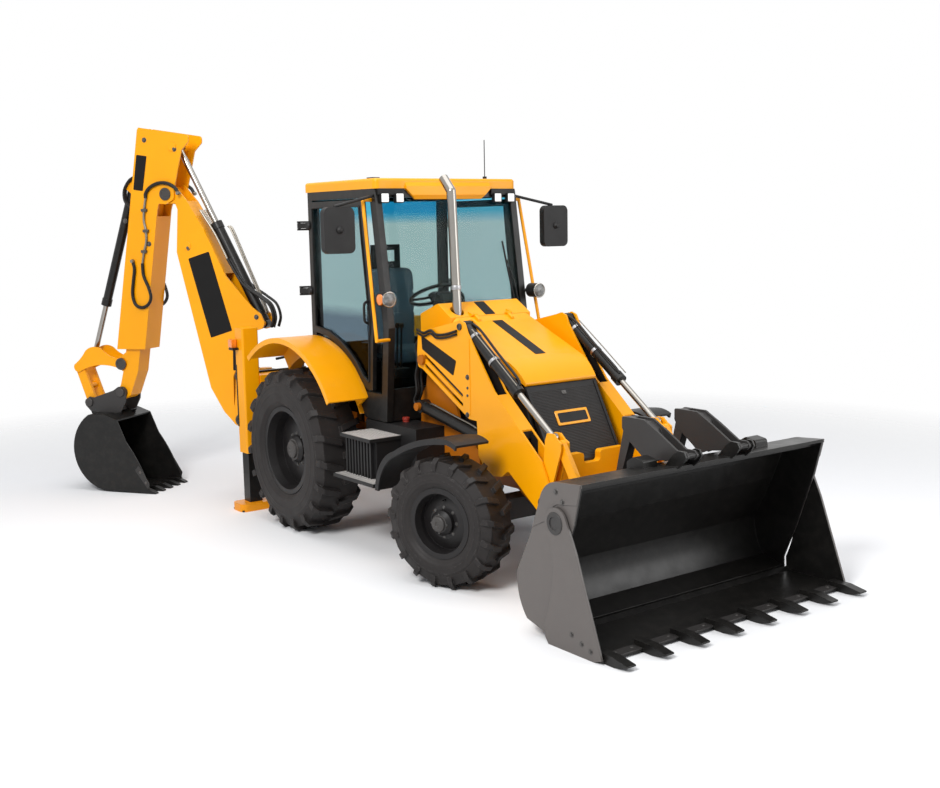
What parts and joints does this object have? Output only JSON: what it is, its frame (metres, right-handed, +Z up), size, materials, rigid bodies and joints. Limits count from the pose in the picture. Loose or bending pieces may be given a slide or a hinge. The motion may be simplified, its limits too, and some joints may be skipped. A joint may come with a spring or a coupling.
{
  "type": "backhoe loader",
  "caption": "Backhoe loader with a clam front bucket and flip-over forks, a closed cab, drop-leg stabilisers and a side-shifting rear digger with a telescoping dipper.",
  "frame": {"origin": "middle of the machine's whole box, on the ground", "axes": "+X forward along the machine, towards the loader bucket; +Y to the machine's left; +Z up"},
  "size_m": [7.5272, 3.18, 3.595],
  "materials": {
    "yellow_paint": "gloss paint",
    "black_paint": "satin paint",
    "grey_paint": "satin paint",
    "chrome": "polished",
    "tyre_rubber": "matt",
    "rim_paint": "satin paint",
    "dark_plastic": "matt",
    "glass": "clear tint",
    "cloth": "woven",
    "cast": "rough"
  },
  "bodies": {
    "chassis": {"nose_plate": "yellow_paint", "main_frame": "black_paint", "engine_block": "cast", "rear_axle": "cast", "front_axle": "cast", "rear_frame": "yellow_paint", "cowl": "yellow_paint", "front_panels": "dark_plastic", "exhaust": "chrome", "cab_frame": "black_paint", "roof": "yellow_paint", "cab_glass": "glass", "cab_interior": "dark_plastic", "seat_cushions": "cloth", "rear_fenders": "yellow_paint", "side_steps": "dark_plastic", "mirrors_and_lamps": "dark_plastic", "grab_rails": "yellow_paint"},
    "hood_lid": {"hood": "yellow_paint"},
    "left_door": {"door_left": "black_paint", "door_glass_left": "glass"},
    "right_door": {"door_right": "black_paint", "door_glass_right": "glass"},
    "knuckle_left_body": {"knuckle_left": "cast"},
    "front_wheel_left": {"front_tyre_left": "tyre_rubber", "front_rim_left": "rim_paint"},
    "rear_wheel_left": {"rear_tyre_left": "tyre_rubber", "rear_rim_left": "rim_paint"},
    "stabiliser_left": {"stabiliser_leg_left": "black_paint"},
    "knuckle_right_body": {"knuckle_right": "cast"},
    "front_wheel_right": {"front_tyre_right": "tyre_rubber", "front_rim_right": "rim_paint"},
    "rear_wheel_right": {"rear_tyre_right": "tyre_rubber", "rear_rim_right": "rim_paint"},
    "stabiliser_right": {"stabiliser_leg_right": "black_paint"},
    "arms": {"loader_arms": "yellow_paint"},
    "lift_ram_barrels": {"lift_barrels": "black_paint"},
    "lift_ram_rods": {"lift_rods": "chrome"},
    "tilt_ram_barrels": {"tilt_barrels": "black_paint"},
    "tilt_ram_rods": {"tilt_rods": "chrome"},
    "levers": {"tipping_levers": "yellow_paint"},
    "links": {"tipping_links": "yellow_paint"},
    "front_bucket": {"loader_bucket": "black_paint"},
    "jaw": {"bucket_jaw": "black_paint"},
    "fork_pair": {"forks": "grey_paint"},
    "carriage": {"shift_carriage": "black_paint"},
    "post": {"kingpost": "yellow_paint"},
    "boom_body": {"boom": "yellow_paint"},
    "boom_ram_barrel": {"boom_barrel": "black_paint"},
    "boom_ram_rod": {"boom_rod": "chrome"},
    "dipper_body": {"dipper": "yellow_paint"},
    "dipper_ram_barrel": {"dipper_barrel": "black_paint"},
    "dipper_ram_rod": {"dipper_rod": "chrome"},
    "dipper_slide": {"dipper_inner": "yellow_paint"},
    "bucket_ram_barrel": {"bucket_barrel": "black_paint"},
    "bucket_ram_rod": {"bucket_rod": "chrome"},
    "rear_lever": {"hoe_lever": "yellow_paint"},
    "rear_link": {"hoe_link": "yellow_paint"},
    "rear_bucket": {"quick_hitch": "grey_paint", "hoe_bucket": "black_paint"}
  },
  "joints": [
    {"name": "hood_lift", "type": "hinge", "parent": "chassis", "child": "hood_lid", "pos_m": [1.02963, 0.36501, 1.896], "axis": [0, -1, 0], "range_deg": [0, 50]},
    {"name": "door_left_swing", "type": "hinge", "parent": "chassis", "child": "left_door", "pos_m": [-0.63737, 1.15501, 2], "axis": [0, 0, 1], "range_deg": [0, 80]},
    {"name": "door_right_swing", "type": "hinge", "parent": "chassis", "child": "right_door", "pos_m": [-0.63737, -0.42499, 2], "axis": [0, 0, -1], "range_deg": [0, 80]},
    {"name": "steer_right", "type": "hinge", "parent": "chassis", "child": "knuckle_right_body", "pos_m": [1.62263, -0.36499, 0.482], "axis": [0, 0, 1], "range_deg": [-53, 17]},
    {"name": "steer_left", "type": "hinge", "parent": "chassis", "child": "knuckle_left_body", "pos_m": [1.62263, 1.09501, 0.482], "axis": [0, 0, 1], "range_deg": [-53.5, 17.5]},
    {"name": "front_right_spin", "type": "hinge", "parent": "knuckle_right_body", "child": "front_wheel_right", "pos_m": [1.62263, -0.36499, 0.482], "axis": [-0.309, 0.9511, 0], "continuous": true},
    {"name": "front_left_spin", "type": "hinge", "parent": "knuckle_left_body", "child": "front_wheel_left", "pos_m": [1.62263, 1.09501, 0.482], "axis": [-0.309, 0.9511, 0], "continuous": true},
    {"name": "rear_right_spin", "type": "hinge", "parent": "chassis", "child": "rear_wheel_right", "pos_m": [-0.54737, -0.51499, 0.7], "axis": [0, 1, 0], "continuous": true},
    {"name": "rear_left_spin", "type": "hinge", "parent": "chassis", "child": "rear_wheel_left", "pos_m": [-0.54737, 1.24501, 0.7], "axis": [0, 1, 0], "continuous": true},
    {"name": "loader_lift", "type": "hinge", "parent": "chassis", "child": "arms", "pos_m": [0.86263, 0.36501, 1.56], "axis": [0, -1, 0], "range_deg": [0, 84]},
    {"name": "lift_ram_swing", "type": "hinge", "parent": "chassis", "child": "lift_ram_barrels", "pos_m": [0.77263, 0.36501, 1.176], "axis": [0, -1, 0], "range_deg": [-0.5, 69.55]},
    {"name": "lift_ram_stroke", "type": "slide", "parent": "lift_ram_barrels", "child": "lift_ram_rods", "axis": [0.9801, 0, -0.1983], "range_m": [-0.005, 0.4624]},
    {"name": "bucket_tilt", "type": "hinge", "parent": "arms", "child": "front_bucket", "pos_m": [2.65263, 0.36501, 0.34], "axis": [0, 1, 0], "range_deg": [-40, 130]},
    {"name": "lever_swing", "type": "hinge", "parent": "arms", "child": "levers", "pos_m": [2.32263, 0.36501, 0.66], "axis": [0, 1, 0], "range_deg": [-26.34, 84.48]},
    {"name": "link_swing", "type": "hinge", "parent": "levers", "child": "links", "pos_m": [2.45263, 0.36501, 1.085], "axis": [0, 1, 0], "range_deg": [-63.22, 19.8]},
    {"name": "tilt_ram_swing", "type": "hinge", "parent": "arms", "child": "tilt_ram_barrels", "pos_m": [1.36763, 0.36501, 1.848], "axis": [0, 1, 0], "range_deg": [-0.74, 0.57]},
    {"name": "tilt_ram_stroke", "type": "slide", "parent": "tilt_ram_barrels", "child": "tilt_ram_rods", "axis": [0.8121, 0, -0.5835], "range_m": [-0.2031, 0.6487]},
    {"name": "jaw_open", "type": "hinge", "parent": "front_bucket", "child": "jaw", "pos_m": [3.16063, 0.36501, 0.785], "axis": [0, -1, 0], "range_deg": [0, 60]},
    {"name": "fork_flip", "type": "hinge", "parent": "front_bucket", "child": "fork_pair", "pos_m": [3.41263, 0.36501, 1.122], "axis": [0, -1, 0], "range_deg": [-260, 0]},
    {"name": "stabiliser_left_lift", "type": "slide", "parent": "chassis", "child": "stabiliser_left", "axis": [0, 0, 1], "range_m": [-0.1, 0.45]},
    {"name": "stabiliser_right_lift", "type": "slide", "parent": "chassis", "child": "stabiliser_right", "axis": [0, 0, 1], "range_m": [-0.1, 0.45]},
    {"name": "side_shift", "type": "slide", "parent": "chassis", "child": "carriage", "axis": [0, 1, 0], "range_m": [0, 1.06]},
    {"name": "slew", "type": "hinge", "parent": "carriage", "child": "post", "pos_m": [-1.90737, -0.16499, 0.9], "axis": [0, 0, -1], "range_deg": [-55, 125]},
    {"name": "boom_lower", "type": "hinge", "parent": "post", "child": "boom_body", "pos_m": [-2.07529, -0.28257, 0.76], "axis": [0.5736, -0.8192, 0], "range_deg": [0, 110]},
    {"name": "boom_ram_swing", "type": "hinge", "parent": "post", "child": "boom_ram_barrel", "pos_m": [-2.06301, -0.27397, 1.19], "axis": [0.5736, -0.8192, 0], "range_deg": [-0.5, 114.9]},
    {"name": "boom_ram_stroke", "type": "slide", "parent": "boom_ram_barrel", "child": "boom_ram_rod", "axis": [-0.3277, -0.2295, 0.9165], "range_m": [-0.005, 0.6996]},
    {"name": "dipper_out", "type": "hinge", "parent": "boom_body", "child": "dipper_body", "pos_m": [-2.67737, -0.70415, 2.95], "axis": [-0.5736, 0.8192, 0], "range_deg": [0, 110]},
    {"name": "dipper_ram_swing", "type": "hinge", "parent": "boom_body", "child": "dipper_ram_barrel", "pos_m": [-1.89262, -0.15466, 1.694], "axis": [-0.5736, 0.8192, 0], "range_deg": [-0.5, 5.25]},
    {"name": "dipper_ram_stroke", "type": "slide", "parent": "dipper_ram_barrel", "child": "dipper_ram_rod", "axis": [-0.3677, -0.2575, 0.8936], "range_m": [-0.7778, 0.005]},
    {"name": "dipper_extend", "type": "slide", "parent": "dipper_body", "child": "dipper_slide", "axis": [-0.1398, -0.0979, -0.9853], "range_m": [0, 1.1]},
    {"name": "rear_bucket_curl", "type": "hinge", "parent": "dipper_slide", "child": "rear_bucket", "pos_m": [-3.19917, -1.06952, 0.992], "axis": [0.5736, -0.8192, 0], "range_deg": [-95, 50]},
    {"name": "rear_lever_swing", "type": "hinge", "parent": "dipper_slide", "child": "rear_lever", "pos_m": [-3.19671, -1.0678, 1.277], "axis": [0.5736, -0.8192, 0], "range_deg": [-65.1, 34.5]},
    {"name": "rear_link_swing", "type": "hinge", "parent": "rear_lever", "child": "rear_link", "pos_m": [-3.61284, -1.35917, 1.24], "axis": [0.5736, -0.8192, 0], "range_deg": [-33.91, 63.98]},
    {"name": "bucket_ram_swing", "type": "hinge", "parent": "dipper_slide", "child": "bucket_ram_barrel", "pos_m": [-3.03862, -0.9571, 3.033], "axis": [0.5736, -0.8192, 0], "range_deg": [-3.64, 6.46]},
    {"name": "bucket_ram_stroke", "type": "slide", "parent": "bucket_ram_barrel", "child": "bucket_ram_rod", "axis": [-0.2638, -0.1847, -0.9467], "range_m": [-0.3946, 0.2101]}
  ],
  "couplings": [
    {"joint": "steer_left", "follows": "steer_right", "ratio": 1},
    {"joint": "lift_ram_swing", "follows": "loader_lift", "ratio": 0.822},
    {"joint": "lift_ram_stroke", "follows": "loader_lift", "m_per_rad": 0.312},
    {"joint": "lever_swing", "follows": "bucket_tilt", "ratio": 0.646},
    {"joint": "link_swing", "follows": "bucket_tilt", "ratio": -0.48245},
    {"joint": "tilt_ram_swing", "follows": "bucket_tilt", "ratio": -0.001822},
    {"joint": "tilt_ram_stroke", "follows": "bucket_tilt", "m_per_rad": 0.2837},
    {"joint": "boom_ram_swing", "follows": "boom_lower", "ratio": 1.04},
    {"joint": "boom_ram_stroke", "follows": "boom_lower", "m_per_rad": 0.3618},
    {"joint": "dipper_ram_swing", "follows": "dipper_out", "ratio": 0.043137},
    {"joint": "dipper_ram_stroke", "follows": "dipper_out", "m_per_rad": -0.40254},
    {"joint": "rear_lever_swing", "follows": "rear_bucket_curl", "ratio": 0.68},
    {"joint": "rear_link_swing", "follows": "rear_bucket_curl", "ratio": -0.66823},
    {"joint": "bucket_ram_swing", "follows": "rear_bucket_curl", "ratio": -0.062785},
    {"joint": "bucket_ram_stroke", "follows": "rear_bucket_curl", "m_per_rad": 0.235}
  ]
}
